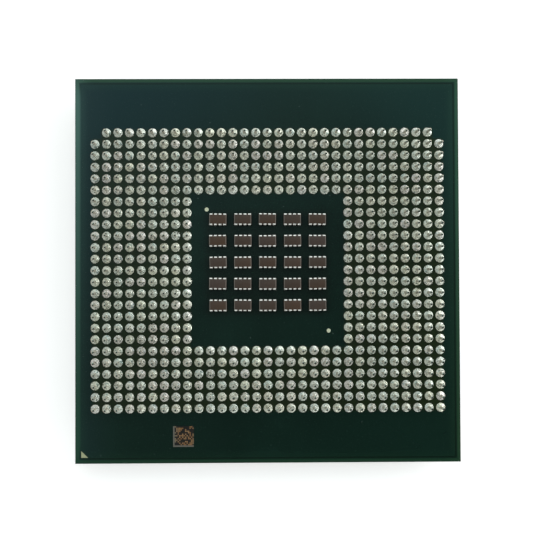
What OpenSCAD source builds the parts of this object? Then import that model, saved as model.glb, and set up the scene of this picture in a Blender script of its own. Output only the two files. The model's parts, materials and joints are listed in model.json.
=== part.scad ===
// Square pin-grid processor package, lying on its heat spreader with the pins up.
// The origin is the middle of the heat spreader's outer face, +X and +Y run along the pin rows and columns.

/* [Package substrate] */
// Width and depth of the square laminated substrate
substrate_size = 42.5; // [41.5:0.1:46]
// Thickness of the laminated substrate
substrate_thickness = 1.08; // [0.8:0.02:1.6]

/* [Pin field] */
// Spacing of the pins, along and across the rows
pin_pitch = 1.27; // [1.2:0.01:1.32]
// Pins in a full row
pin_columns = 31; // [27:2:33]
// Rows of pins
pin_rows = 25; // [21:2:25]
// Columns left empty in the middle of the field
void_columns = 13; // [11:2:15]
// Rows left empty in the middle of the field
void_rows = 13; // [11:2:15]

/* [Pins] */
// Diameter of a pin's shaft
pin_diameter = 0.305; // [0.25:0.005:0.4]
// Height of a pin's tip above the substrate
pin_length = 2.03; // [1.5:0.01:3.2]
// Radius of the rounded tip
pin_tip_radius = 0.35; // [0.21:0.01:0.6]
// Diameter of the nail head in the solder
pin_head_diameter = 0.7; // [0.5:0.01:0.75]
// Thickness of the nail head
pin_head_thickness = 0.1; // [0.08:0.01:0.15]
// Radius of the fillet between nail head and shaft
pin_head_fillet = 0.06; // [0.03:0.005:0.07]

/* [Solder joints] */
// Diameter of a joint on its land
solder_diameter = 1.0; // [0.9:0.01:1.1]
// Thickness of the solder under the nail head
solder_film = 0.04; // [0.03:0.005:0.08]
// Thickness of the solder over the edge of the nail head
solder_cover = 0.035; // [0.02:0.005:0.08]
// Upright rim of the joint at the edge of its land
solder_rim = 0.09; // [0.03:0.005:0.12]
// Height and reach of the meniscus that climbs the shaft
solder_meniscus = 0.06; // [0.03:0.005:0.1]

/* [Pin-side capacitors] */
// Capacitors in a row
capacitor_columns = 5; // [3:1:5]
// Rows of capacitors
capacitor_rows = 5; // [3:1:5]
// Spacing of the capacitors along a row
capacitor_pitch_x = 2.74; // [2.4:0.01:2.8]
// Spacing of the rows of capacitors
capacitor_pitch_y = 2.37; // [1.9:0.01:2.4]
// Offset of the capacitor field from the middle of the substrate, along Y
capacitor_offset_y = 0.85; // [0:0.05:1]
// Length of a capacitor, along the rows
capacitor_length = 1.91; // [1.8:0.01:2.2]
// Width of a capacitor over its terminals
capacitor_width = 1.27; // [1.1:0.01:1.5]
// Height of a capacitor over its terminals
capacitor_height = 0.82; // [0.5:0.01:1.25]
// Radius of the long edges of a capacitor's body
capacitor_edge_radius = 0.06; // [0.03:0.01:0.1]
// Terminals along each long side
terminals_per_side = 4; // [2:1:4]
// Spacing of the terminals
terminal_pitch = 0.5; // [0.4:0.01:0.52]
// Width of a terminal
terminal_width = 0.3; // [0.2:0.01:0.36]
// How far a terminal wraps over and under the body
terminal_wrap = 0.1; // [0.07:0.01:0.35]
// Thickness of a terminal
terminal_thickness = 0.035; // [0.025:0.005:0.06]
// Reach of the solder at a terminal's foot
terminal_solder_reach = 0.05; // [0.03:0.01:0.2]
// Height of the solder at a terminal's foot
terminal_solder_height = 0.26; // [0.15:0.01:0.4]

/* [Marks on the pin side] */
// Depth that the bare metal marks are let into the substrate
mark_thickness = 0.05; // [0.03:0.01:0.1]
// Length of the pin-one triangle's legs
marker_leg = 0.74; // [0.5:0.01:1]
// Distance of the triangle from the substrate's edges
marker_inset = 0.66; // [0.3:0.02:1]
// Diameter of a fiducial dot
fiducial_diameter = 0.45; // [0.3:0.05:0.8]
// Distance of the fiducial dots from the middle, along X and along Y
fiducial_offset = 6.72; // [6.6:0.02:6.9]
// Side of the square code pad
code_pad_size = 2.28; // [1.5:0.02:2.6]
// Distance of the code pad's middle from the substrate's middle, along X
code_pad_offset_x = 9.35; // [0:0.05:15]
// Distance of the code pad's middle from the substrate's lower edge
code_pad_inset = 2.94; // [1.6:0.02:3.2]

/* [Heat spreader] */
// Width and depth of the square heat spreader
lid_size = 38.5; // [34:0.1:41]
// Radius of its corners, seen from above
lid_corner_radius = 1.6; // [0.8:0.1:4]
// Bevel round its outer face
lid_bevel = 0.3; // [0.1:0.05:0.5]
// Thickness of the plate over the die
lid_plate = 1.425; // [1:0.025:2.5]
// Width of the foot that is glued to the substrate
lid_foot = 3.1; // [2:0.1:5]
// Radius of the pocket's corners
lid_pocket_radius = 3; // [1:0.1:5]

/* [Sealant] */
// Thickness of the sealant between foot and substrate
sealant_thickness = 0.1; // [0.05:0.01:0.2]
// Distance of the sealant from both edges of the foot
sealant_setback = 0.4; // [0.2:0.05:0.9]
// Width of the gap that lets the pocket breathe
vent_gap = 3; // [1:0.5:8]

/* [Die] */
// Width and depth of the die
die_size = 10.6; // [8:0.1:16]
// Thickness of the die
die_thickness = 0.775; // [0.5:0.025:0.9]
// Thickness of the thermal interface between die and lid
interface_thickness = 0.1; // [0.05:0.01:0.2]
// Height of the solder bumps that carry the die
bump_height = 0.08; // [0.05:0.005:0.12]
// Reach of the underfill beyond the die
underfill_reach = 0.7; // [0.3:0.05:1.2]
// Height of the underfill on the die's sides
underfill_rise = 0.4; // [0.2:0.05:0.48]

/* [Hidden] */
$fn = 48;

// Levels, from the heat spreader's outer face up
die_base_z = lid_plate + interface_thickness;
die_top_z = die_base_z + die_thickness;
substrate_base_z = die_top_z + bump_height;
lid_height = substrate_base_z - sealant_thickness;
pin_face_z = substrate_base_z + substrate_thickness;
pocket_size = lid_size - 2 * lid_foot;
// Amount that a cutter stands out of the piece it cuts
overcut = 1;

// Pin and joint sections
pin_radius = pin_diameter / 2;
pin_head_radius = pin_head_diameter / 2;
pin_head_top = solder_film + pin_head_thickness;
pin_tip_rise = pin_tip_radius - sqrt(pow(pin_tip_radius, 2) - pow(pin_radius, 2));
pin_shaft_top = pin_length - pin_tip_rise;

// Joint's crown: an arc from the rim over the edge of the nail head, with its centre on the pin's axis
solder_radius = solder_diameter / 2;
crown_height = pin_head_top + solder_cover;
crown_rise = crown_height - solder_rim;
crown_run = (pow(solder_radius, 2) - pow(pin_head_radius, 2)) / crown_rise;
crown_centre_z = (crown_height + solder_rim - crown_run) / 2;
crown_radius = sqrt(pow(solder_radius, 2) + pow(solder_rim - crown_centre_z, 2));
meniscus_radius = pin_radius + solder_meniscus;
meniscus_base = crown_centre_z + sqrt(pow(crown_radius, 2) - pow(meniscus_radius, 2));

// Capacitor body inside its terminals
capacitor_body_width = capacitor_width - 2 * terminal_thickness;
capacitor_body_height = capacitor_height - 2 * terminal_thickness;

// Rows are lettered from the marker's side, without the letters that read as figures or as one another
row_letters = "abcdefghjklmnprtuvwy";
solder_sides = ["upper", "lower", "left", "right"];

function row_letter(row) =
    row < len(row_letters) ? row_letters[row] : str("a", row_letters[row - len(row_letters)]);
function pin_row_node(row) = str("pin_row_", row_letter(row));
function solder_node(side) = str("solder_joints_", side);
function capacitor_bodies_node(row) = str("capacitor_bodies_row_", row + 1);
function capacitor_terminals_node(row) = str("capacitor_terminals_row_", row + 1);

// Steps of a grid place from the middle of the grid
function from_middle(place, count) = place - (count - 1) / 2;

function is_in_void(column, row) =
    abs(from_middle(column, pin_columns)) < void_columns / 2
    && abs(from_middle(row, pin_rows)) < void_rows / 2;

// The two ends of the last row have no pin, so the package fits its socket one way only
function is_key_place(column, row) = row == pin_rows - 1 && (column == 0 || column == pin_columns - 1);

function has_pin(column, row) = !is_in_void(column, row) && !is_key_place(column, row);

function pin_columns_in(row) = [for (column = [0 : pin_columns - 1]) if (has_pin(column, row)) column];

function solder_side(column, row) =
    from_middle(row, pin_rows) > void_rows / 2 ? "upper" :
    from_middle(row, pin_rows) < -void_rows / 2 ? "lower" :
    from_middle(column, pin_columns) < 0 ? "left" : "right";

module at_pin(column, row) {
    x = from_middle(column, pin_columns) * pin_pitch;
    y = from_middle(row, pin_rows) * pin_pitch;
    translate([x, y, pin_face_z])
        children();
}

// Each capacitor of a row, counted from the marker's side
module at_capacitors(row) {
    for (column = [0 : capacitor_columns - 1])
        translate([
            from_middle(column, capacitor_columns) * capacitor_pitch_x,
            from_middle(row, capacitor_rows) * capacitor_pitch_y + capacitor_offset_y,
            pin_face_z
        ])
            children();
}

module rounded_rectangle(size, radius) {
    square([size.x, size.y - 2 * radius], center = true);
    square([size.x - 2 * radius, size.y], center = true);
    for (x = [-1, 1], y = [-1, 1])
        translate([x * (size.x / 2 - radius), y * (size.y / 2 - radius)])
            circle(radius);
}

module rounded_square(size, radius) {
    rounded_rectangle([size, size], radius);
}

// Wedge between a block's lower edge and its bevel, in the plane across the edge, which lies on the Y axis
module bevel_section() {
    polygon([
        [-lid_bevel, 0],
        [-lid_bevel - overcut, -overcut],
        [overcut, -overcut],
        [overcut, lid_bevel + overcut],
        [0, lid_bevel]
    ]);
}

// Everything that the bevel takes off round the outer face of the heat spreader
module lid_bevel_cut() {
    reach = lid_size / 2 - lid_corner_radius;
    for (turn = [0 : 90 : 270])
        rotate(turn) {
            translate([lid_size / 2, reach, 0])
                rotate([90, 0, 0])
                    linear_extrude(2 * reach)
                        bevel_section();
            translate([reach, reach, 0])
                rotate_extrude(angle = 90)
                    intersection() {
                        translate([lid_corner_radius, 0])
                            bevel_section();
                        translate([0, -overcut])
                            square(lid_corner_radius + lid_bevel + 2 * overcut);
                    }
        }
}

module heat_spreader() {
    color("#b9bab5")
        difference() {
            linear_extrude(lid_height)
                rounded_square(lid_size, lid_corner_radius);
            translate([0, 0, lid_plate])
                linear_extrude(lid_height)
                    rounded_square(pocket_size, lid_pocket_radius);
            lid_bevel_cut();
        }
}

module lid_sealant() {
    outer_size = lid_size - 2 * sealant_setback;
    inner_size = pocket_size + 2 * sealant_setback;
    color("#2b2b2a")
        translate([0, 0, lid_height])
            linear_extrude(sealant_thickness)
                difference() {
                    rounded_square(outer_size, lid_corner_radius);
                    rounded_square(inner_size, lid_pocket_radius + sealant_setback);
                    translate([0, lid_size / 2])
                        square([vent_gap, 2 * lid_foot + overcut], center = true);
                }
}

module die_block(base_z, height) {
    translate([-die_size / 2, -die_size / 2, base_z])
        cube([die_size, die_size, height]);
}

module thermal_interface() {
    color("#8d8f8e")
        die_block(lid_plate, interface_thickness);
}

module processor_die() {
    color("#55595e")
        die_block(die_base_z, die_thickness);
}

// Sloped bank along one pair of the die's sides
module underfill_bank() {
    half = die_size / 2;
    bank_width = die_size + 2 * underfill_reach;
    translate([0, bank_width / 2, 0])
        rotate([90, 0, 0])
            linear_extrude(bank_width)
                polygon([
                    [-half - underfill_reach, substrate_base_z],
                    [-half, die_top_z - underfill_rise],
                    [half, die_top_z - underfill_rise],
                    [half + underfill_reach, substrate_base_z]
                ]);
}

module underfill() {
    color("#3a3226")
        difference() {
            intersection() {
                underfill_bank();
                rotate(90)
                    underfill_bank();
            }
            die_block(die_base_z, die_thickness);
        }
}

module marker_shape() {
    corner = marker_inset - substrate_size / 2;
    translate([corner, corner])
        polygon([[0, 0], [marker_leg, 0], [0, marker_leg]]);
}

module fiducial_shapes() {
    for (side = [-1, 1])
        translate([side * fiducial_offset, -side * fiducial_offset])
            circle(d = fiducial_diameter);
}

module code_pad_shape() {
    translate([-code_pad_offset_x, code_pad_inset - substrate_size / 2])
        square(code_pad_size, center = true);
}

// A bare metal mark, let into the pin side
module mark() {
    translate([0, 0, pin_face_z - mark_thickness])
        linear_extrude(mark_thickness)
            children();
}

module package_substrate() {
    color("#1e2f2a")
        difference() {
            translate([-substrate_size / 2, -substrate_size / 2, substrate_base_z])
                cube([substrate_size, substrate_size, substrate_thickness]);
            translate([0, 0, pin_face_z - mark_thickness])
                linear_extrude(mark_thickness + overcut) {
                    marker_shape();
                    fiducial_shapes();
                    code_pad_shape();
                }
        }
}

module pin_one_marker() {
    color("#a8a878")
        mark()
            marker_shape();
}

module fiducial_dots() {
    color("#b9b28a")
        mark()
            fiducial_shapes();
}

module code_pad() {
    color("#6a5a48")
        mark()
            code_pad_shape();
}

// Half section of a pin: nail head, fillet, shaft and rounded tip
module pin_section() {
    polygon([
        [0, solder_film],
        [pin_head_radius, solder_film],
        [pin_head_radius, pin_head_top],
        [pin_radius, pin_head_top],
        [pin_radius, pin_shaft_top],
        [0, pin_shaft_top]
    ]);
    difference() {
        translate([0, pin_head_top])
            square([pin_radius + pin_head_fillet, pin_head_fillet]);
        translate([pin_radius + pin_head_fillet, pin_head_top + pin_head_fillet])
            circle(pin_head_fillet);
    }
    intersection() {
        translate([0, pin_length - pin_tip_radius])
            circle(pin_tip_radius);
        translate([0, pin_shaft_top])
            square([pin_radius, pin_tip_rise]);
    }
}

// Half section of a joint: an upright rim, a crown and a meniscus run into it, less the pin's own shape
module solder_section() {
    difference() {
        union() {
            intersection() {
                translate([0, crown_centre_z])
                    circle(crown_radius);
                square([solder_radius, crown_radius]);
            }
            polygon([
                [0, solder_rim],
                [meniscus_radius + solder_meniscus, meniscus_base - solder_meniscus],
                [pin_radius, meniscus_base + solder_meniscus],
                [0, meniscus_base + solder_meniscus]
            ]);
        }
        pin_section();
    }
}

module pin_row(row) {
    color("#b5a886")
        for (column = pin_columns_in(row))
            at_pin(column, row)
                rotate_extrude()
                    pin_section();
}

module solder_joints(side) {
    color("#9aa093")
        for (row = [0 : pin_rows - 1], column = pin_columns_in(row))
            if (solder_side(column, row) == side)
                at_pin(column, row)
                    rotate_extrude()
                        solder_section();
}

// Section across a capacitor, standing on the substrate
module body_section() {
    translate([0, capacitor_height / 2])
        rounded_rectangle([capacitor_body_width, capacitor_body_height], capacitor_edge_radius);
}

// Stands a section across the capacitor up and gives it a length along the capacitor
module along_capacitor(length) {
    translate([-length / 2, 0, 0])
        rotate([90, 0, 90])
            linear_extrude(length)
                children();
}

module capacitor_body() {
    along_capacitor(capacitor_length)
        body_section();
}

// Section of the terminals along one side: the wrap round the body and the solder at its foot
module terminal_section() {
    side_y = capacitor_width / 2;
    bend = capacitor_edge_radius + terminal_thickness;
    difference() {
        union() {
            intersection() {
                translate([0, capacitor_height / 2])
                    rounded_rectangle([capacitor_width, capacitor_height], bend);
                translate([side_y - terminal_thickness - terminal_wrap, 0])
                    square([terminal_thickness + terminal_wrap, capacitor_height]);
            }
            polygon([
                [side_y - bend, 0],
                [side_y + terminal_solder_reach, 0],
                [side_y + terminal_solder_reach, terminal_thickness],
                [side_y, terminal_solder_height],
                [side_y - bend, terminal_solder_height]
            ]);
        }
        body_section();
    }
}

module capacitor_terminals() {
    for (turn = [0, 180], place = [0 : terminals_per_side - 1])
        rotate(turn)
            translate([from_middle(place, terminals_per_side) * terminal_pitch, 0, 0])
                along_capacitor(terminal_width)
                    terminal_section();
}

module capacitor_bodies_row(row) {
    color("#493c35")
        at_capacitors(row)
            capacitor_body();
}

module capacitor_terminals_row(row) {
    color("#d8d8d4")
        at_capacitors(row)
            capacitor_terminals();
}

heat_spreader();
lid_sealant();
thermal_interface();
processor_die();
underfill();
package_substrate();
pin_one_marker();
fiducial_dots();
code_pad();
for (side = solder_sides)
    solder_joints(side);
for (row = [0 : pin_rows - 1])
    pin_row(row);
for (row = [0 : capacitor_rows - 1])
    capacitor_bodies_row(row);
for (row = [0 : capacitor_rows - 1])
    capacitor_terminals_row(row);
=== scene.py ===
"""Looks of a square pin-grid processor that lies on its lid with the pins up.

Sizes are in metres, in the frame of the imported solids: the origin is the middle of the lid's outer
face, +Z points to the pin tips, and +X and +Y run along the pin rows and columns.
"""
import json
import math

import bmesh
import bpy
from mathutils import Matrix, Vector


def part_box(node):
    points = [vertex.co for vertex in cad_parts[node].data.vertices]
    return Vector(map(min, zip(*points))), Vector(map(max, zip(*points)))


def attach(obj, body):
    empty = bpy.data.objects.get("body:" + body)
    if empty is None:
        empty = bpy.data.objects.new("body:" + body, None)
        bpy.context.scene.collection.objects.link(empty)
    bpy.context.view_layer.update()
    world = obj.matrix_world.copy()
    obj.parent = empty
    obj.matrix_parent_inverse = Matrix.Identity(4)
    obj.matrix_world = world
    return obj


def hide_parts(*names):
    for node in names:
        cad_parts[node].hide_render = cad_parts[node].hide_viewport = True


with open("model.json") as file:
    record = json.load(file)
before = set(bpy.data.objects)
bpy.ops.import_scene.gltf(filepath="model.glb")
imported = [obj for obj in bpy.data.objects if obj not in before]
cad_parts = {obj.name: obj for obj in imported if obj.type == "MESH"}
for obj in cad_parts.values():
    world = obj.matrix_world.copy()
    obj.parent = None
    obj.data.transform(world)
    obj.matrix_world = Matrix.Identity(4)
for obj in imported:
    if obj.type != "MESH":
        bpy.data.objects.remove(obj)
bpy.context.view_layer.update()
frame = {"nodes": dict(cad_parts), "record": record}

MM = 0.001

# Pin field
PIN_PITCH = 1.27 * MM
PIN_COLUMNS = 31
PIN_ROWS = 25
VOID_PLACES = 13
PIN_RADIUS = 0.1525 * MM
PIN_LENGTH = 2.03 * MM
PIN_TIP_RADIUS = 0.35 * MM
PIN_HEAD_RADIUS = 0.35 * MM
PIN_HEAD_BASE = 0.04 * MM
PIN_HEAD_TOP = 0.14 * MM
PIN_HEAD_FILLET = 0.06 * MM
PIN_SIDES = 10
PIN_LEAN = math.radians(0.9)

# Solder joints
SOLDER_RADIUS = 0.5 * MM
SOLDER_RIM = 0.09 * MM
SOLDER_COVER = 0.035 * MM
SOLDER_MENISCUS = 0.06 * MM
SOLDER_SIDES = 12
SOLDER_CROWN_STEPS = 3
SOLDER_GIRTH_SPREAD = 0.02
SOLDER_HEIGHT_SPREAD = 0.1
SOLDER_RIPPLE = 0.012 * MM
SOLDER_RIPPLE_SIZE = 0.4 * MM
SOLDER_CRYSTAL = 0.19 * MM

# Pin-side capacitors
CAPACITOR_PLACES = 5
CAPACITOR_PITCH_X = 2.74 * MM
CAPACITOR_PITCH_Y = 2.37 * MM
CAPACITOR_OFFSET_Y = 0.85 * MM
CAPACITOR_LENGTH = 1.91 * MM
CAPACITOR_WIDTH = 1.27 * MM
CAPACITOR_HEIGHT = 0.82 * MM
CAPACITOR_EDGE = 0.06 * MM
CAPACITOR_TURN = math.radians(0.9)
CAPACITOR_SHIFT = 0.025 * MM
TERMINALS_PER_SIDE = 4
TERMINAL_PITCH = 0.5 * MM
TERMINAL_WIDTH = 0.3 * MM
TERMINAL_WRAP = 0.1 * MM
TERMINAL_THICKNESS = 0.035 * MM
TERMINAL_SOLDER_REACH = 0.05 * MM
TERMINAL_SOLDER_HEIGHT = 0.26 * MM
TERMINAL_SINK = 0.01 * MM
TERMINAL_BEND_STEPS = 3

# Code pad and board edge
PAD_CELLS = 14
PAD_DOT_REACH = 0.4
PAD_DOT_SHARE = 0.46
EDGE_LINE_INSET = 0.54 * MM
LAMINATE_CORE_REACH = 0.345
LAMINATE_MASK_REACH = 0.46

# Light
FLOOR_GLOW = 0.48
FLOOR_REACH = 2.0
FLOOR_DROP = 0.02 * MM
DARK_OVERHEAD = Vector((0.27, -0.13, 1.0)).normalized()
DARK_OUTER = math.cos(math.radians(53))
DARK_INNER = math.cos(math.radians(29))
SOFTBOX_PLACE = Vector((0.33, 0.1, 0.17))
SOFTBOX_SIZE = 0.2
SOFTBOX_WATTS = 0.4

# Camera, fitted to the pin grid and the pin tips
CAMERA_PLACE = Vector((-1.488, -2.753, 123.46)) * MM
CAMERA_TURN_DEG = (1.265, -0.723, -0.235)
CAMERA_LENS_MM = 72.058
CAMERA_SENSOR_MM = 36.0

FULL_TURN = 2 * math.pi
CREASE = math.radians(38)
MIDDLE = (0.5, 0.5, 0.5)
PIN_SEED = 4
SOLDER_SEED = 11
CAPACITOR_SEED = 3

substrate_low, substrate_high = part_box("package_substrate")
PIN_FACE_Z = substrate_high.z
PIN_FIELD_X = (PIN_COLUMNS - 1) / 2 * PIN_PITCH
PIN_FIELD_Y = (PIN_ROWS - 1) / 2 * PIN_PITCH
VOID_REACH = (VOID_PLACES + 1) / 2 * PIN_PITCH
CAPACITOR_REACH_X = (CAPACITOR_PLACES - 1) / 2 * CAPACITOR_PITCH_X + CAPACITOR_LENGTH / 2
CAPACITOR_REACH_Y = (CAPACITOR_PLACES - 1) / 2 * CAPACITOR_PITCH_Y + CAPACITOR_WIDTH / 2


# Node trees

def plug(tree, value, socket):
    """Joins a socket to another, or sets its value."""
    if isinstance(value, bpy.types.NodeSocket):
        tree.links.new(value, socket)
    else:
        socket.default_value = value


def add(tree, kind, inputs=None, **settings):
    """A new node with its settings and its inputs, which are named or numbered."""
    node = tree.nodes.new(kind)
    for name, value in settings.items():
        setattr(node, name, value)
    for key, value in (inputs or {}).items():
        plug(tree, value, node.inputs[key])
    return node


def calc(tree, operation, a, b=0.0):
    return add(tree, "ShaderNodeMath", {0: a, 1: b}, operation=operation).outputs[0]


def both(tree, a, b, operation="AND"):
    return add(tree, "FunctionNodeBooleanMath", {0: a, 1: b}, operation=operation).outputs[0]


def is_less(tree, a, b):
    node = add(tree, "FunctionNodeCompare", {"A": a, "B": b}, data_type="FLOAT", operation="LESS_THAN")
    return node.outputs[0]


def vector_calc(tree, operation, a, b):
    return add(tree, "ShaderNodeVectorMath", {0: a, 1: b}, operation=operation).outputs[0]


def vector_scale(tree, vector, factor):
    return add(tree, "ShaderNodeVectorMath", {0: vector, "Scale": factor}, operation="SCALE").outputs[0]


def step(tree, value, low, high, to_low=0.0, to_high=1.0):
    """A smooth step from to_low at low to to_high at high."""
    node = add(tree, "ShaderNodeMapRange", {"Value": value, "From Min": low, "From Max": high,
                                            "To Min": to_low, "To Max": to_high},
               interpolation_type="SMOOTHSTEP")
    return node.outputs["Result"]


def mix(tree, factor, a, b):
    """A colour between a and b."""
    node = add(tree, "ShaderNodeMix", data_type="RGBA")
    for value, identifier in ((factor, "Factor_Float"), (a, "A_Color"), (b, "B_Color")):
        plug(tree, value, next(s for s in node.inputs if s.identifier == identifier))
    return next(s for s in node.outputs if s.identifier == "Result_Color")


def noise(tree, vector, size, detail=2.0, roughness=0.5):
    """Noise from 0 to 1 with features of about that size."""
    node = add(tree, "ShaderNodeTexNoise", {"Vector": vector, "Scale": 1 / size, "Detail": detail,
                                            "Roughness": roughness})
    return node.outputs["Fac"]


def object_place(tree):
    return add(tree, "ShaderNodeTexCoord").outputs["Object"]


def split(tree, vector):
    return add(tree, "ShaderNodeSeparateXYZ", {"Vector": vector}).outputs


def colour(red, green, blue):
    """A linear colour from sRGB values of 0 to 255."""
    def linear(value):
        value /= 255
        return value / 12.92 if value <= 0.04045 else ((value + 0.055) / 1.055) ** 2.4
    return (linear(red), linear(green), linear(blue), 1.0)


# Geometry Nodes

def socket_id(tree, name):
    sockets = tree.interface.items_tree
    return next(s.identifier for s in sockets if s.name == name and s.in_out == "INPUT")


def parts_on_grid():
    """Tree that sets copies of one shape on a grid, each a little different.

    Void Columns and Void Rows leave the middle empty, and Keyed leaves out the ends of the top row.
    """
    tree = bpy.data.node_groups.new("parts_on_grid", "GeometryNodeTree")
    tree.interface.new_socket("Geometry", in_out="OUTPUT", socket_type="NodeSocketGeometry")
    kinds = {
        "Shape": "Object", "Finish": "Material", "Columns": "Int", "Rows": "Int", "Pitch X": "Float",
        "Pitch Y": "Float", "Void Columns": "Float", "Void Rows": "Float", "Keyed": "Bool",
        "Centre": "Vector", "Turn": "Float", "Lean": "Float", "Shift": "Float", "Girth Spread": "Float",
        "Height Spread": "Float", "Ripple": "Float", "Ripple Size": "Float", "Seed": "Int",
    }
    for name, kind in kinds.items():
        tree.interface.new_socket(name, in_out="INPUT", socket_type="NodeSocket" + kind)
    given = add(tree, "NodeGroupInput").outputs

    def spread(amount, number):
        """A random value between -amount and amount, with its own seed."""
        seed = calc(tree, "ADD", given["Seed"], float(number))
        return add(tree, "FunctionNodeRandomValue", {2: calc(tree, "MULTIPLY", amount, -1.0), 3: amount,
                                                     "Seed": seed}, data_type="FLOAT").outputs[1]

    reach_x = calc(tree, "MULTIPLY", calc(tree, "SUBTRACT", given["Columns"], 1.0), given["Pitch X"])
    reach_y = calc(tree, "MULTIPLY", calc(tree, "SUBTRACT", given["Rows"], 1.0), given["Pitch Y"])
    grid = add(tree, "GeometryNodeMeshGrid",
               {"Size X": reach_x, "Size Y": reach_y,
                "Vertices X": given["Columns"], "Vertices Y": given["Rows"]})
    place = split(tree, add(tree, "GeometryNodeInputPosition").outputs[0])
    far_x = calc(tree, "ABSOLUTE", place["X"])
    far_y = calc(tree, "ABSOLUTE", place["Y"])

    def half(value):
        return calc(tree, "MULTIPLY", value, 0.5)

    void_x = half(calc(tree, "MULTIPLY", given["Void Columns"], given["Pitch X"]))
    void_y = half(calc(tree, "MULTIPLY", given["Void Rows"], given["Pitch Y"]))
    in_void = both(tree, is_less(tree, far_x, void_x), is_less(tree, far_y, void_y))
    last_column = calc(tree, "SUBTRACT", half(reach_x), half(given["Pitch X"]))
    last_row = calc(tree, "SUBTRACT", half(reach_y), half(given["Pitch Y"]))
    in_corner = both(tree, is_less(tree, last_column, far_x), is_less(tree, last_row, place["Y"]))
    left_out = both(tree, in_void, both(tree, in_corner, given["Keyed"]), "OR")
    kept = add(tree, "GeometryNodeDeleteGeometry",
               {"Geometry": grid.outputs["Mesh"], "Selection": left_out})
    shift = add(tree, "ShaderNodeCombineXYZ",
                {"X": spread(given["Shift"], 1), "Y": spread(given["Shift"], 2)})
    offset = vector_calc(tree, "ADD", given["Centre"], shift.outputs[0])
    placed = add(tree, "GeometryNodeSetPosition", {"Geometry": kept.outputs[0], "Offset": offset})
    tinted = add(tree, "GeometryNodeStoreNamedAttribute",
                 {"Geometry": placed.outputs[0], "Name": "tint", "Value": spread(1.0, 3)},
                 data_type="FLOAT")
    turn = add(tree, "ShaderNodeCombineXYZ",
               {"X": spread(given["Lean"], 4), "Y": spread(given["Lean"], 5),
                "Z": spread(given["Turn"], 6)})
    girth = calc(tree, "ADD", spread(given["Girth Spread"], 7), 1.0)
    height = calc(tree, "ADD", spread(given["Height Spread"], 8), 1.0)
    scale = add(tree, "ShaderNodeCombineXYZ", {"X": girth, "Y": girth, "Z": height})
    shape = add(tree, "GeometryNodeObjectInfo", {"Object": given["Shape"]})
    copies = add(tree, "GeometryNodeInstanceOnPoints",
                 {"Points": tinted.outputs[0], "Instance": shape.outputs["Geometry"],
                  "Rotation": turn.outputs[0], "Scale": scale.outputs[0]})
    realized = add(tree, "GeometryNodeRealizeInstances", {"Geometry": copies.outputs[0]})
    wave = add(tree, "ShaderNodeTexNoise", {"Scale": calc(tree, "DIVIDE", 1.0, given["Ripple Size"])})
    swing = vector_calc(tree, "SUBTRACT", wave.outputs["Color"], MIDDLE)
    ripple = vector_scale(tree, swing, given["Ripple"])
    rippled = add(tree, "GeometryNodeSetPosition", {"Geometry": realized.outputs[0], "Offset": ripple})
    finished = add(tree, "GeometryNodeSetMaterial",
                   {"Geometry": rippled.outputs[0], "Material": given["Finish"]})
    add(tree, "NodeGroupOutput", {"Geometry": finished.outputs[0]})
    return tree


def set_on_grid(name, tree, values):
    """A piece made by the tree, as one plain mesh."""
    piece = bpy.data.objects.new(name, bpy.data.meshes.new(name))
    bpy.context.scene.collection.objects.link(piece)
    grower = piece.modifiers.new("grid", "NODES")
    grower.node_group = tree
    for label, value in values.items():
        grower[socket_id(tree, label)] = value
    graph = bpy.context.evaluated_depsgraph_get()
    made = bpy.data.meshes.new_from_object(piece.evaluated_get(graph), preserve_all_data_layers=True,
                                           depsgraph=graph)
    piece.modifiers.clear()
    made.name = name
    piece.data = made
    bpy.data.objects.remove(values["Shape"])
    return piece


# Shapes that are repeated

def pattern_shape(name, mesh):
    """An object that only lends its mesh to copies."""
    shape = bpy.data.objects.new(name, mesh)
    bpy.context.scene.collection.objects.link(shape)
    return shape


def mesh_from(name, build):
    """A smooth mesh from bmesh, with edges sharper than the crease kept sharp."""
    bm = bmesh.new()
    build(bm)
    bmesh.ops.recalc_face_normals(bm, faces=bm.faces)
    for face in bm.faces:
        face.smooth = True
    for edge in bm.edges:
        edge.smooth = len(edge.link_faces) == 2 and edge.calc_face_angle(0.0) < CREASE
    mesh = bpy.data.meshes.new(name)
    bm.to_mesh(mesh)
    bm.free()
    return mesh


def turned(bm, outline, sides):
    """Turns an outline of (radius, height) points about Z and closes both ends."""
    spokes = [(math.cos(FULL_TURN * n / sides), math.sin(FULL_TURN * n / sides)) for n in range(sides)]
    rings = [[bm.verts.new((radius * x, radius * y, height)) for x, y in spokes]
             for radius, height in outline]
    for lower, upper in zip(rings, rings[1:]):
        for n in range(sides):
            bm.faces.new((lower[n], lower[n - 1], upper[n - 1], upper[n]))
    bm.faces.new(rings[0])
    bm.faces.new(rings[-1])


def pin_shape():
    """Nail head, fillet, shaft and rounded tip."""
    tip_centre = PIN_LENGTH - PIN_TIP_RADIUS
    widest = math.asin(PIN_RADIUS / PIN_TIP_RADIUS)
    outline = [(PIN_HEAD_RADIUS, PIN_HEAD_BASE), (PIN_HEAD_RADIUS, PIN_HEAD_TOP),
               (PIN_RADIUS + PIN_HEAD_FILLET, PIN_HEAD_TOP),
               (PIN_RADIUS, PIN_HEAD_TOP + PIN_HEAD_FILLET)]
    for share in (1.0, 0.6, 0.2):
        angle = widest * share
        outline.append((PIN_TIP_RADIUS * math.sin(angle), tip_centre + PIN_TIP_RADIUS * math.cos(angle)))
    return pattern_shape("pin", mesh_from("pin", lambda bm: turned(bm, outline, PIN_SIDES)))


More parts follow.
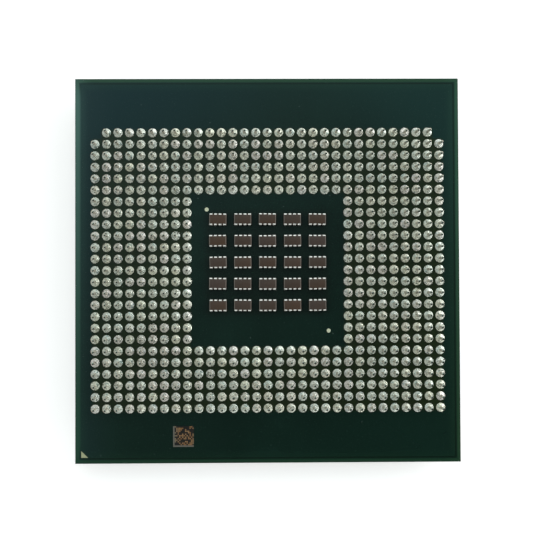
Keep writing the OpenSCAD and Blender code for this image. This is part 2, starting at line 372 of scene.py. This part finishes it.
def solder_shape():
    """Button with an upright rim, a crown over the nail head and a meniscus on the pin."""
    height = PIN_HEAD_TOP + SOLDER_COVER
    run = (SOLDER_RADIUS ** 2 - PIN_HEAD_RADIUS ** 2) / (height - SOLDER_RIM)
    centre = (height + SOLDER_RIM - run) / 2
    crown_radius = math.hypot(SOLDER_RADIUS, SOLDER_RIM - centre)
    inner = PIN_RADIUS + SOLDER_MENISCUS
    outline = [(SOLDER_RADIUS, 0.0)]
    for n in range(SOLDER_CROWN_STEPS + 1):
        radius = SOLDER_RADIUS + (inner - SOLDER_RADIUS) * n / SOLDER_CROWN_STEPS
        outline.append((radius, centre + math.sqrt(crown_radius ** 2 - radius ** 2)))
    outline.append((PIN_RADIUS, outline[-1][1] + SOLDER_MENISCUS))
    mesh = mesh_from("solder_joint", lambda bm: turned(bm, outline, SOLDER_SIDES))
    return pattern_shape("solder_joint", mesh)


def capacitor_shape():
    """Ceramic block with rounded edges, which knows each point's place along it."""
    width = CAPACITOR_WIDTH - 2 * TERMINAL_THICKNESS
    height = CAPACITOR_HEIGHT - 2 * TERMINAL_THICKNESS

    def build(bm):
        block = bmesh.ops.create_cube(bm, size=1.0)["verts"]
        bmesh.ops.scale(bm, verts=block, vec=(CAPACITOR_LENGTH, width, height))
        bmesh.ops.translate(bm, verts=block, vec=(0, 0, CAPACITOR_HEIGHT / 2))
        bmesh.ops.bevel(bm, geom=bm.edges[:], offset=CAPACITOR_EDGE, segments=2, profile=0.5,
                        affect="EDGES")
    mesh = mesh_from("capacitor", build)
    along = mesh.attributes.new("along", "FLOAT", "POINT")
    for n, vertex in enumerate(mesh.vertices):
        along.data[n].value = vertex.co.x
    return pattern_shape("capacitor", mesh)


def terminal_outline():
    """Section of a terminal: it wraps the body from above to below, with solder at its foot."""
    side = CAPACITOR_WIDTH / 2
    inner = side - TERMINAL_THICKNESS - CAPACITOR_EDGE
    lip = side - TERMINAL_THICKNESS - TERMINAL_WRAP
    top = CAPACITOR_HEIGHT
    under = TERMINAL_THICKNESS + TERMINAL_SINK
    bend = CAPACITOR_EDGE + TERMINAL_THICKNESS
    points = [(lip, top - TERMINAL_THICKNESS / 2), (lip + TERMINAL_THICKNESS / 2, top)]
    shares = [n / TERMINAL_BEND_STEPS for n in range(TERMINAL_BEND_STEPS + 1)]
    for share in shares:
        angle = math.pi / 2 * (1 - share)
        points.append((side - bend * (1 - math.cos(angle)), top - bend * (1 - math.sin(angle))))
    for share in shares:
        points.append((side + TERMINAL_SOLDER_REACH * share, TERMINAL_SOLDER_HEIGHT * (1 - share) ** 2))
    points += [(lip, 0.0), (lip, under), (inner, under), (inner, top - under), (lip, top - under)]
    return points


def terminals_shape():
    """All the terminals of one capacitor."""
    outline = terminal_outline()

    def build(bm):
        for side in (1, -1):
            for n in range(TERMINALS_PER_SIDE):
                middle = (n - (TERMINALS_PER_SIDE - 1) / 2) * TERMINAL_PITCH
                edges = (middle - TERMINAL_WIDTH / 2, middle + TERMINAL_WIDTH / 2)
                ends = [[bm.verts.new((x, side * y, z)) for y, z in outline] for x in edges]
                for ring in ends:
                    bm.faces.new(ring)
                for k in range(len(outline)):
                    bm.faces.new((ends[0][k], ends[0][k - 1], ends[1][k - 1], ends[1][k]))
    return pattern_shape("terminals", mesh_from("terminals", build))


# Shared shader effects

def shader_group(name, inputs, outputs):
    """An empty effect with its inputs, their usual values and its outputs."""
    tree = bpy.data.node_groups.new(name, "ShaderNodeTree")
    for label, default in inputs.items():
        socket = tree.interface.new_socket(label, in_out="INPUT", socket_type="NodeSocketFloat")
        socket.default_value = default
    for label in outputs:
        tree.interface.new_socket(label, in_out="OUTPUT", socket_type="NodeSocketFloat")
    return tree, add(tree, "NodeGroupInput").outputs


def grain_group():
    """Fine grain: a height for bumps and a mask that dulls or tints the surface."""
    tree, given = shader_group("fine_grain", {"Size": 0.1 * MM, "Contrast": 1.0}, ("Height", "Mask"))
    scale = calc(tree, "DIVIDE", 1.0, given["Size"])
    fine = add(tree, "ShaderNodeTexNoise", {"Vector": object_place(tree), "Scale": scale, "Detail": 3.0,
                                            "Roughness": 0.6}).outputs["Fac"]
    centred = calc(tree, "SUBTRACT", fine, 0.5)
    mask = calc(tree, "ADD", calc(tree, "MULTIPLY", centred, given["Contrast"]), 0.5)
    clamped = add(tree, "ShaderNodeClamp", {"Value": mask}).outputs[0]
    add(tree, "NodeGroupOutput", {"Height": fine, "Mask": clamped})
    return tree


def smudge_group():
    """Slow cloudy marks of handling and cleaning."""
    tree, given = shader_group("smudges", {"Size": 8 * MM}, ("Mask",))
    scale = calc(tree, "DIVIDE", 1.0, given["Size"])
    slow = add(tree, "ShaderNodeTexNoise", {"Vector": object_place(tree), "Scale": scale, "Detail": 4.0,
                                            "Roughness": 0.55, "Distortion": 0.6}).outputs["Fac"]
    add(tree, "NodeGroupOutput", {"Mask": step(tree, slow, 0.3, 0.7)})
    return tree


GRAIN = grain_group()
SMUDGES = smudge_group()


def grain(tree, size, contrast=1.0):
    node = add(tree, "ShaderNodeGroup", node_tree=GRAIN)
    node.inputs["Size"].default_value = size
    node.inputs["Contrast"].default_value = contrast
    return node.outputs


def smudges(tree, size):
    node = add(tree, "ShaderNodeGroup", node_tree=SMUDGES)
    node.inputs["Size"].default_value = size
    return node.outputs["Mask"]


def new_finish(name):
    """An empty material with a surface shader, as its tree and that shader."""
    material = bpy.data.materials.new(name)
    material.use_nodes = True
    tree = material.node_tree
    tree.nodes.clear()
    shader = add(tree, "ShaderNodeBsdfPrincipled")
    add(tree, "ShaderNodeOutputMaterial", {"Surface": shader.outputs[0]})
    return material, tree, shader


def upward_share(tree):
    """1 on faces that lie flat, 0 on upright ones."""
    normal = add(tree, "ShaderNodeNewGeometry").outputs["Normal"]
    return calc(tree, "ABSOLUTE", split(tree, normal)["Z"])


def bump(tree, shader, height, depth, strength=1.0):
    node = add(tree, "ShaderNodeBump", {"Height": height, "Distance": depth, "Strength": strength})
    plug(tree, node.outputs[0], shader.inputs["Normal"])


def tint_value(tree):
    """The piece's own random value, from 0 to 1."""
    raw = add(tree, "ShaderNodeAttribute", attribute_name="tint").outputs["Fac"]
    return calc(tree, "MULTIPLY", calc(tree, "ADD", raw, 1.0), 0.5)


def tint_ramp(tree, colours):
    """The piece's own shade, between the colours given."""
    node = add(tree, "ShaderNodeValToRGB", {"Fac": tint_value(tree)})
    stops = node.color_ramp.elements
    while len(stops) < len(colours):
        stops.new(0.5)
    for n, shade in enumerate(colours):
        stops[n].position = n / (len(colours) - 1)
        stops[n].color = shade
    return node.outputs["Color"]


# Finishes

def solder_mask_finish():
    """Dark green mask, paler along the edges, browner between the pins, with laminate layers on the sides;
    with a painted sheen to the upper left, upper right and left, painted shade round the capacitors, a
    painted shadow line inside the edge band, and band colours that change by side as painted light.
    """
    material, tree, shader = new_finish("solder_mask")
    place = object_place(tree)
    x, y, z = split(tree, place)
    far_x = calc(tree, "ABSOLUTE", x)
    far_y = calc(tree, "ABSOLUTE", y)
    from_edge = calc(tree, "SUBTRACT", substrate_high.x, calc(tree, "MAXIMUM", far_x, far_y))
    on_x_edge = step(tree, calc(tree, "SUBTRACT", far_x, far_y), -2 * MM, 2 * MM)
    rightwards = step(tree, x, -PIN_FIELD_X, PIN_FIELD_X)
    upwards = step(tree, y, -PIN_FIELD_X, PIN_FIELD_X)
    on_left = calc(tree, "MULTIPLY", on_x_edge, calc(tree, "SUBTRACT", 1.0, rightwards))
    reach = step(tree, on_left, 0.0, 1.0, 0.24 * MM, 0.36 * MM)
    band = step(tree, from_edge, reach, calc(tree, "MULTIPLY", reach, 2.2), 1.0, 0.0)
    fade = step(tree, from_edge, 0.6 * MM, 1.6 * MM, 0.18, 0.0)
    border = calc(tree, "MAXIMUM", band, fade)
    # Painted shadow of the mask's edge: a dark line just inside the pale band, left out on the left side.
    from_line = calc(tree, "ABSOLUTE", calc(tree, "SUBTRACT", from_edge, EDGE_LINE_INSET))
    line = step(tree, from_line, 0.04 * MM, 0.14 * MM, 0.7, 0.0)
    edge_painted_shadow = calc(tree, "MULTIPLY", line, calc(tree, "SUBTRACT", 1.0, on_left))
    rim = step(tree, from_edge, 0.03 * MM, 0.12 * MM, 0.4, 0.0)
    mask = mix(tree, smudges(tree, 12 * MM), colour(6, 28, 20), colour(11, 35, 27))
    # Painted sheen: the mask is tinted bluer and lighter towards the upper left, the upper right and along
    # the left, in place of the reflected sky.
    painted_sheen_upper_left = step(tree, calc(tree, "SUBTRACT", y, x), 0.5 * PIN_FIELD_X, 2 * PIN_FIELD_X)
    mask = mix(tree, painted_sheen_upper_left, mask, colour(4, 34, 36))
    painted_sheen_upper_right = step(tree, calc(tree, "ADD", x, y), 0.9 * PIN_FIELD_X, 2 * PIN_FIELD_X)
    mask = mix(tree, painted_sheen_upper_right, mask, colour(14, 43, 39))
    painted_sheen_left = step(tree, x, -1.1 * PIN_FIELD_X, -0.85 * PIN_FIELD_X, 0.45, 0.0)
    mask = mix(tree, painted_sheen_left, mask, colour(25, 46, 47))
    # Painted shade: the mask is darkened around the capacitor block.
    near_x = step(tree, far_x, CAPACITOR_REACH_X, CAPACITOR_REACH_X + 0.8 * MM, 1.0, 0.0)
    from_row = calc(tree, "ABSOLUTE", calc(tree, "SUBTRACT", y, CAPACITOR_OFFSET_Y))
    near_y = step(tree, from_row, CAPACITOR_REACH_Y, CAPACITOR_REACH_Y + 0.8 * MM, 1.0, 0.0)
    capacitor_painted_shade = calc(tree, "MULTIPLY", calc(tree, "MULTIPLY", near_x, near_y), 0.5)
    mask = mix(tree, capacitor_painted_shade, mask, colour(9, 18, 9))
    field_x = step(tree, far_x, PIN_FIELD_X, PIN_FIELD_X + 0.6 * MM, 1.0, 0.0)
    field_y = step(tree, far_y, PIN_FIELD_Y, PIN_FIELD_Y + 0.6 * MM, 1.0, 0.0)
    outside_void = step(tree, calc(tree, "MAXIMUM", far_x, far_y), VOID_REACH - 0.6 * MM, VOID_REACH)
    key_x = step(tree, far_x, PIN_FIELD_X - 0.9 * MM, PIN_FIELD_X - 0.5 * MM)
    key_y = step(tree, y, PIN_FIELD_Y - 0.9 * MM, PIN_FIELD_Y - 0.5 * MM)
    no_key = calc(tree, "SUBTRACT", 1.0, calc(tree, "MULTIPLY", key_x, key_y))
    in_field = calc(tree, "MULTIPLY", calc(tree, "MULTIPLY", field_x, field_y),
                    calc(tree, "MULTIPLY", outside_void, no_key))
    coppered = mix(tree, calc(tree, "MULTIPLY", in_field, 0.85), mask, colour(33, 42, 19))
    specks = step(tree, noise(tree, place, 0.3 * MM, 0.0), 0.86, 0.92, 0.0, 0.3)
    coppered = mix(tree, specks, coppered, colour(92, 106, 104))
    # Painted light: the pale band is brightest on the left, paler towards the top and darkest at the bottom.
    left = mix(tree, upwards, colour(32, 64, 50), colour(65, 98, 89))
    right = mix(tree, upwards, colour(35, 62, 42), colour(45, 80, 62))
    low_or_high = mix(tree, upwards, colour(24, 52, 36), colour(35, 66, 46))
    band_painted_light = mix(tree, on_x_edge, low_or_high, mix(tree, rightwards, left, right))
    banded = mix(tree, edge_painted_shadow, mix(tree, border, coppered, band_painted_light), colour(6, 24, 14))
    rimmed = mix(tree, rim, banded, colour(16, 32, 24))
    on_side = step(tree, upward_share(tree), 0.3, 0.6, 1.0, 0.0)
    thickness = substrate_high.z - substrate_low.z
    level = calc(tree, "DIVIDE", calc(tree, "SUBTRACT", z, substrate_low.z), thickness)
    from_middle = calc(tree, "ABSOLUTE", calc(tree, "SUBTRACT", level, 0.5))
    strands = noise(tree, vector_calc(tree, "MULTIPLY", place, (1.0, 1.0, 9.0)), 0.5 * MM, 3.0)
    core = mix(tree, strands, colour(66, 66, 40), colour(104, 98, 62))
    past_core = step(tree, from_middle, LAMINATE_CORE_REACH - 0.015, LAMINATE_CORE_REACH + 0.015)
    build_up = mix(tree, past_core, core, colour(34, 40, 30))
    in_mask = step(tree, from_middle, LAMINATE_MASK_REACH - 0.005, LAMINATE_MASK_REACH + 0.005)
    layers = mix(tree, in_mask, build_up, colour(22, 48, 38))
    plug(tree, mix(tree, on_side, rimmed, layers), shader.inputs["Base Color"])
    shader.inputs["Specular IOR Level"].default_value = 0.35
    fine = grain(tree, 0.12 * MM)
    plug(tree, step(tree, fine["Mask"], 0.0, 1.0, 0.2, 0.3), shader.inputs["Roughness"])
    bump(tree, shader, fine["Height"], 0.003 * MM, 0.5)
    return material


def solder_finish():
    """Dull solder with small flat crystal facets and a slightly different shade on each joint."""
    material, tree, shader = new_finish("solder")
    shades = tint_ramp(tree, [colour(194, 204, 196), colour(206, 212, 202), colour(204, 208, 192),
                              colour(206, 204, 200), colour(198, 208, 200)])
    spots = smudges(tree, 0.3 * MM)
    plug(tree, mix(tree, calc(tree, "MULTIPLY", spots, 0.45), shades, colour(146, 152, 142)),
         shader.inputs["Base Color"])
    shader.inputs["Metallic"].default_value = 1.0
    fine = grain(tree, 0.12 * MM, 1.6)
    plug(tree, step(tree, fine["Mask"], 0.0, 1.0, 0.3, 0.16), shader.inputs["Roughness"])
    crystals = add(tree, "ShaderNodeTexVoronoi", {"Vector": object_place(tree), "Scale": 1 / SOLDER_CRYSTAL})
    tilt = vector_calc(tree, "SUBTRACT", crystals.outputs["Color"], MIDDLE)
    surface = add(tree, "ShaderNodeNewGeometry").outputs["Normal"]
    most = step(tree, split(tree, surface)["Z"], 0.6, 0.95, 0.3, 0.6)
    tilted = vector_calc(tree, "ADD", vector_scale(tree, tilt, most), surface)
    facet = add(tree, "ShaderNodeVectorMath", {0: tilted}, operation="NORMALIZE")
    rough = add(tree, "ShaderNodeBump", {"Height": fine["Height"], "Distance": 0.05 * MM,
                                         "Normal": facet.outputs[0]})
    plug(tree, rough.outputs[0], shader.inputs["Normal"])
    return material


def pin_finish():
    """Pale gold over nickel, polished at the tip and duller along the shaft, whose paler colour is painted
    light.
    """
    material, tree, shader = new_finish("pin_plating")
    shades = tint_ramp(tree, [colour(172, 168, 154), colour(180, 176, 162), colour(168, 165, 153)])
    shaft = step(tree, upward_share(tree), 0.5, 0.8, 1.0, 0.0)
    # Painted light: the upright shaft gets a paler colour than the flat tip.
    plug(tree, mix(tree, shaft, shades, colour(206, 204, 190)), shader.inputs["Base Color"])
    dulled = calc(tree, "MULTIPLY", shaft, 0.5)
    plug(tree, calc(tree, "SUBTRACT", 1.0, dulled), shader.inputs["Metallic"])
    fine = grain(tree, 0.05 * MM)
    polish = step(tree, fine["Mask"], 0.0, 1.0, 0.1, 0.18)
    satin = calc(tree, "MULTIPLY", shaft, 0.25)
    plug(tree, calc(tree, "ADD", polish, satin), shader.inputs["Roughness"])
    bump(tree, shader, fine["Height"], 0.001 * MM)
    return material


def ceramic_finish():
    """Fired brown ceramic with fine grain and a painted highlight line near its ends, each capacitor its own
    brown.
    """
    material, tree, shader = new_finish("capacitor_ceramic")
    shades = tint_ramp(tree, [colour(76, 55, 40), colour(66, 53, 44), colour(70, 57, 51),
                              colour(72, 53, 38), colour(62, 50, 43)])
    fine = grain(tree, 0.1 * MM, 3.0)
    grained = mix(tree, calc(tree, "MULTIPLY", fine["Mask"], 0.5), shades, colour(48, 39, 33))
    along = add(tree, "ShaderNodeAttribute", attribute_name="along").outputs["Fac"]
    # Painted highlight: a pale line where the rounded end edge begins.
    from_end = calc(tree, "SUBTRACT", CAPACITOR_LENGTH / 2, calc(tree, "ABSOLUTE", along))
    from_line = calc(tree, "ABSOLUTE", calc(tree, "SUBTRACT", from_end, CAPACITOR_EDGE))
    line = step(tree, from_line, 0.02 * MM, 0.045 * MM, 0.55, 0.0)
    plug(tree, mix(tree, line, grained, colour(132, 126, 120)), shader.inputs["Base Color"])
    shader.inputs["Specular IOR Level"].default_value = 0.35
    plug(tree, step(tree, fine["Mask"], 0.0, 1.0, 0.4, 0.55), shader.inputs["Roughness"])
    bump(tree, shader, fine["Height"], 0.004 * MM)
    return material


def tin_finish():
    """Bright tin with soft waves, with painted shade darkening it towards the soldered foot."""
    material, tree, shader = new_finish("tinned_terminal")
    waves = grain(tree, 0.15 * MM, 1.4)
    bright = mix(tree, waves["Mask"], colour(236, 238, 234), colour(255, 255, 252))
    height = split(tree, object_place(tree))["Z"]
    # Painted shade: the colour darkens towards the foot of the terminal.
    foot_painted_shade = step(tree, height, PIN_FACE_Z + 0.2 * MM, PIN_FACE_Z + 0.5 * MM, 0.85, 0.0)
    plug(tree, mix(tree, foot_painted_shade, bright, colour(84, 86, 80)), shader.inputs["Base Color"])
    shader.inputs["Metallic"].default_value = 0.6
    plug(tree, step(tree, waves["Mask"], 0.0, 1.0, 0.34, 0.48), shader.inputs["Roughness"])
    bump(tree, shader, waves["Height"], 0.03 * MM)
    return material


def gold_finish():
    """Thin matt gold flash on bare copper, duller out at the corner marker."""
    material, tree, shader = new_finish("bare_gold")
    fine = grain(tree, 0.06 * MM)
    gold = mix(tree, fine["Mask"], colour(200, 204, 172), colour(234, 238, 212))
    far_x = calc(tree, "ABSOLUTE", split(tree, object_place(tree))["X"])
    # The colour darkens from the void out to the corner marker.
    handled = step(tree, far_x, VOID_REACH, PIN_FIELD_X, 0.0, 0.8)
    plug(tree, mix(tree, handled, gold, colour(146, 152, 112)), shader.inputs["Base Color"])
    shader.inputs["Metallic"].default_value = 0.3
    plug(tree, step(tree, fine["Mask"], 0.0, 1.0, 0.5, 0.62), shader.inputs["Roughness"])
    bump(tree, shader, fine["Height"], 0.004 * MM)
    return material


def code_pad_finish():
    """Etched copper pad: small plain dots in random order, with a pale rule on two sides."""
    material, tree, shader = new_finish("bare_copper")
    low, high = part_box("code_pad")
    place = split(tree, object_place(tree))
    across = calc(tree, "MULTIPLY", calc(tree, "SUBTRACT", place["X"], low.x), PAD_CELLS / (high.x - low.x))
    along = calc(tree, "MULTIPLY", calc(tree, "SUBTRACT", place["Y"], low.y), PAD_CELLS / (high.y - low.y))
    cell = add(tree, "ShaderNodeCombineXYZ",
               {"X": calc(tree, "FLOOR", across), "Y": calc(tree, "FLOOR", along)})
    dice = add(tree, "ShaderNodeTexWhiteNoise", {"Vector": cell.outputs[0]}, noise_dimensions="2D")
    aside = calc(tree, "ABSOLUTE", calc(tree, "SUBTRACT", calc(tree, "FRACT", across), 0.5))
    above = calc(tree, "ABSOLUTE", calc(tree, "SUBTRACT", calc(tree, "FRACT", along), 0.5))
    within = calc(tree, "LESS_THAN", calc(tree, "MAXIMUM", aside, above), PAD_DOT_REACH)
    lit = calc(tree, "MULTIPLY", within, calc(tree, "LESS_THAN", dice.outputs["Value"], PAD_DOT_SHARE))
    from_middle = calc(tree, "ABSOLUTE", calc(tree, "SUBTRACT", across, 0.6 * PAD_CELLS))
    pale = step(tree, from_middle, 0.25 * PAD_CELLS, 0.6 * PAD_CELLS)
    copper = mix(tree, dice.outputs["Color"], colour(126, 86, 48), colour(156, 126, 88))
    shades = mix(tree, pale, copper, colour(118, 112, 94))
    ground = mix(tree, grain(tree, 0.1 * MM)["Mask"], colour(6, 7, 5), colour(16, 14, 10))
    inside = mix(tree, lit, ground, shades)
    rule = calc(tree, "LESS_THAN", calc(tree, "MINIMUM", across, along), 1.0)
    plug(tree, mix(tree, rule, inside, colour(96, 94, 86)), shader.inputs["Base Color"])
    shader.inputs["Specular IOR Level"].default_value = 0.3
    shader.inputs["Roughness"].default_value = 0.6
    bump(tree, shader, lit, 0.006 * MM)
    return material


def nickel_finish():
    """Satin nickel plate with fine peening, faint smudges and hairline scratches."""
    material, tree, shader = new_finish("nickel_plate")
    fine = grain(tree, 0.09 * MM)
    marks = smudges(tree, 9 * MM)
    nickel = mix(tree, marks, colour(206, 204, 196), colour(218, 216, 210))
    plug(tree, nickel, shader.inputs["Base Color"])
    shader.inputs["Metallic"].default_value = 1.0
    stretched = add(tree, "ShaderNodeMapping", {"Vector": object_place(tree), "Rotation": (0.0, 0.0, 0.4),
                                                "Scale": (1.0, 40.0, 1.0)})
    hairs = noise(tree, stretched.outputs[0], 6 * MM, 5.0, 0.7)
    scratches = step(tree, hairs, 0.66, 0.72, 0.0, 0.4)
    satin = step(tree, fine["Mask"], 0.0, 1.0, 0.26, 0.36)
    handled = calc(tree, "MULTIPLY", marks, 0.05)
    plug(tree, calc(tree, "ADD", satin, handled), shader.inputs["Roughness"])
    height = calc(tree, "SUBTRACT", fine["Height"], scratches)
    bump(tree, shader, height, 0.003 * MM)
    return material


def plain_finish(name, shades, roughness, grain_size, depth, metallic=0.0):
    """A finish of two near shades with fine grain."""
    material, tree, shader = new_finish(name)
    fine = grain(tree, grain_size, 1.3)
    plug(tree, mix(tree, fine["Mask"], *shades), shader.inputs["Base Color"])
    shader.inputs["Metallic"].default_value = metallic
    plug(tree, step(tree, fine["Mask"], 0.0, 1.0, *roughness), shader.inputs["Roughness"])
    bump(tree, shader, fine["Height"], depth)
    return material


FINISHES = {
    "solder_mask": solder_mask_finish(),
    "solder": solder_finish(),
    "pin_plating": pin_finish(),
    "capacitor_ceramic": ceramic_finish(),
    "tinned_terminal": tin_finish(),
    "bare_gold": gold_finish(),
    "bare_copper": code_pad_finish(),
    "nickel_plate": nickel_finish(),
    "sealant": plain_finish("sealant", (colour(30, 30, 29), colour(44, 44, 42)),
                            (0.6, 0.75), 0.2 * MM, 0.01 * MM),
    "thermal_gel": plain_finish("thermal_gel", (colour(150, 151, 150), colour(170, 171, 170)),
                                (0.5, 0.6), 0.1 * MM, 0.004 * MM),
    "silicon": plain_finish("silicon", (colour(70, 74, 80), colour(84, 88, 94)),
                            (0.12, 0.2), 0.4 * MM, 0.001 * MM, 1.0),
    "underfill_resin": plain_finish("underfill_resin", (colour(58, 48, 34), colour(74, 62, 46)),
                                    (0.2, 0.32), 0.3 * MM, 0.006 * MM),
}


# Pieces

def dress_solids():
    """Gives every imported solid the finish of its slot."""
    for row in frame["record"]["subparts"]:
        solid = frame["nodes"][row["node"]]
        solid.data.materials.clear()
        solid.data.materials.append(FINISHES[row["material_slot"]])


def stand_for(piece, prefix):
    """The piece takes the place of the solids whose names start with the prefix."""
    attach(piece, "root")
    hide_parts(*[name for name in frame["nodes"] if name.startswith(prefix)])


ALL_ALIKE = {"Turn": 0.0, "Lean": 0.0, "Shift": 0.0, "Girth Spread": 0.0, "Height Spread": 0.0,
             "Ripple": 0.0, "Ripple Size": SOLDER_RIPPLE_SIZE}


def pin_field(name, tree, shape, slot, differences):
    places = {"Shape": shape, "Finish": FINISHES[slot], "Columns": PIN_COLUMNS, "Rows": PIN_ROWS,
              "Pitch X": PIN_PITCH, "Pitch Y": PIN_PITCH, "Void Columns": float(VOID_PLACES),
              "Void Rows": float(VOID_PLACES), "Keyed": True, "Centre": (0.0, 0.0, PIN_FACE_Z)}
    return set_on_grid(name, tree, {**places, **ALL_ALIKE, **differences})


def capacitor_field(name, tree, shape, slot):
    places = {"Shape": shape, "Finish": FINISHES[slot], "Columns": CAPACITOR_PLACES,
              "Rows": CAPACITOR_PLACES, "Pitch X": CAPACITOR_PITCH_X, "Pitch Y": CAPACITOR_PITCH_Y,
              "Void Columns": 0.0, "Void Rows": 0.0, "Keyed": False,
              "Centre": (0.0, CAPACITOR_OFFSET_Y, PIN_FACE_Z)}
    differences = {"Turn": CAPACITOR_TURN, "Shift": CAPACITOR_SHIFT, "Seed": CAPACITOR_SEED}
    return set_on_grid(name, tree, {**places, **ALL_ALIKE, **differences})


dress_solids()
grid_tree = parts_on_grid()
pins = pin_field("pins", grid_tree, pin_shape(), "pin_plating", {"Lean": PIN_LEAN, "Seed": PIN_SEED})
stand_for(pins, "pin_row_")
joints = pin_field("solder_joints", grid_tree, solder_shape(), "solder",
                   {"Turn": math.pi, "Girth Spread": SOLDER_GIRTH_SPREAD,
                    "Height Spread": SOLDER_HEIGHT_SPREAD, "Ripple": SOLDER_RIPPLE, "Seed": SOLDER_SEED})
stand_for(joints, "solder_joints_")
bodies = capacitor_field("capacitor_bodies", grid_tree, capacitor_shape(), "capacitor_ceramic")
stand_for(bodies, "capacitor_bodies_")
terminals = capacitor_field("capacitor_terminals", grid_tree, terminals_shape(), "tinned_terminal")
stand_for(terminals, "capacitor_terminals_")


# Stage

def make_floor():
    """A large white floor, seen only from above, that keeps the part's shadow."""
    mesh = bpy.data.meshes.new("floor")
    corners = ((-1, -1), (1, -1), (1, 1), (-1, 1))
    points = [(x * FLOOR_REACH, y * FLOOR_REACH, -FLOOR_DROP) for x, y in corners]
    mesh.from_pydata(points, [], [(0, 1, 2, 3)])
    floor = bpy.data.objects.new("floor", mesh)
    bpy.context.scene.collection.objects.link(floor)
    material = bpy.data.materials.new("floor")
    material.use_nodes = True
    tree = material.node_tree
    tree.nodes.clear()
    paper = add(tree, "ShaderNodeBsdfDiffuse", {"Color": (0.86, 0.86, 0.86, 1.0)})
    ray = add(tree, "ShaderNodeLightPath").outputs
    mirrored = calc(tree, "MAXIMUM", ray["Is Glossy Ray"], ray["Is Transmission Ray"])
    seen = calc(tree, "MAXIMUM", ray["Is Camera Ray"], mirrored)
    glow = add(tree, "ShaderNodeEmission", {"Color": (1.0, 1.0, 1.0, 1.0),
                                            "Strength": calc(tree, "MULTIPLY", seen, FLOOR_GLOW)})
    lit = add(tree, "ShaderNodeAddShader", {0: paper.outputs[0], 1: glow.outputs[0]})
    clear = add(tree, "ShaderNodeBsdfTransparent")
    back = add(tree, "ShaderNodeNewGeometry").outputs["Backfacing"]
    one_sided = add(tree, "ShaderNodeMixShader", {0: back, 1: lit.outputs[0], 2: clear.outputs[0]})
    add(tree, "ShaderNodeOutputMaterial", {"Surface": one_sided.outputs[0]})
    mesh.materials.append(material)


def make_world():
    """Soft studio surroundings, brighter to the right, dark overhead, with a cool glow at the upper left."""
    world = bpy.data.worlds.new("studio")
    bpy.context.scene.world = world
    world.use_nodes = True
    tree = world.node_tree
    tree.nodes.clear()
    direction = add(tree, "ShaderNodeTexCoord").outputs["Generated"]
    towards = split(tree, direction)
    rightwards = calc(tree, "ADD", calc(tree, "MULTIPLY", towards["Y"], 0.08), towards["X"])
    sides = mix(tree, step(tree, rightwards, -1.0, 1.0), (0.66, 0.67, 0.65, 1.0), (2.15, 2.14, 2.08, 1.0))
    nearness = add(tree, "ShaderNodeVectorMath", {0: direction, 1: DARK_OVERHEAD}, operation="DOT_PRODUCT")
    overhead = step(tree, nearness.outputs["Value"], DARK_OUTER, DARK_INNER)
    upper_left = calc(tree, "SUBTRACT", towards["Y"], calc(tree, "MULTIPLY", towards["X"], 0.55))
    dark = mix(tree, step(tree, upper_left, -0.3, 0.2), (0.02, 0.03, 0.03, 1.0), (0.22, 0.3, 0.32, 1.0))
    glow = mix(tree, step(tree, upper_left, 0.12, 0.25), dark, (0.5, 0.84, 0.9, 1.0))
    sky = mix(tree, overhead, sides, glow)
    below = step(tree, towards["Z"], 0.0, -0.05)
    light = mix(tree, below, sky, (0.95, 0.95, 0.95, 1.0))
    shine = add(tree, "ShaderNodeBackground", {"Color": light, "Strength": 1.0})
    add(tree, "ShaderNodeOutputWorld", {"Surface": shine.outputs[0]})


def make_softbox():
    """A square lamp that faces the part."""
    lamp = bpy.data.lights.new("key_softbox", "AREA")
    lamp.shape = "SQUARE"
    lamp.size = SOFTBOX_SIZE
    lamp.energy = SOFTBOX_WATTS
    box = bpy.data.objects.new("key_softbox", lamp)
    box.location = SOFTBOX_PLACE
    box.rotation_euler = (-SOFTBOX_PLACE).to_track_quat("-Z", "Y").to_euler()
    bpy.context.scene.collection.objects.link(box)


def make_camera():
    lens = bpy.data.cameras.new("camera")
    lens.lens = CAMERA_LENS_MM
    lens.sensor_width = CAMERA_SENSOR_MM
    lens.clip_start = 0.005
    lens.clip_end = 20.0
    camera = bpy.data.objects.new("camera", lens)
    camera.location = CAMERA_PLACE
    camera.rotation_euler = [math.radians(turn) for turn in CAMERA_TURN_DEG]
    bpy.context.scene.collection.objects.link(camera)
    bpy.context.scene.camera = camera


make_floor()
make_world()
make_softbox()
make_camera()
bpy.context.scene.view_settings.view_transform = "Standard"
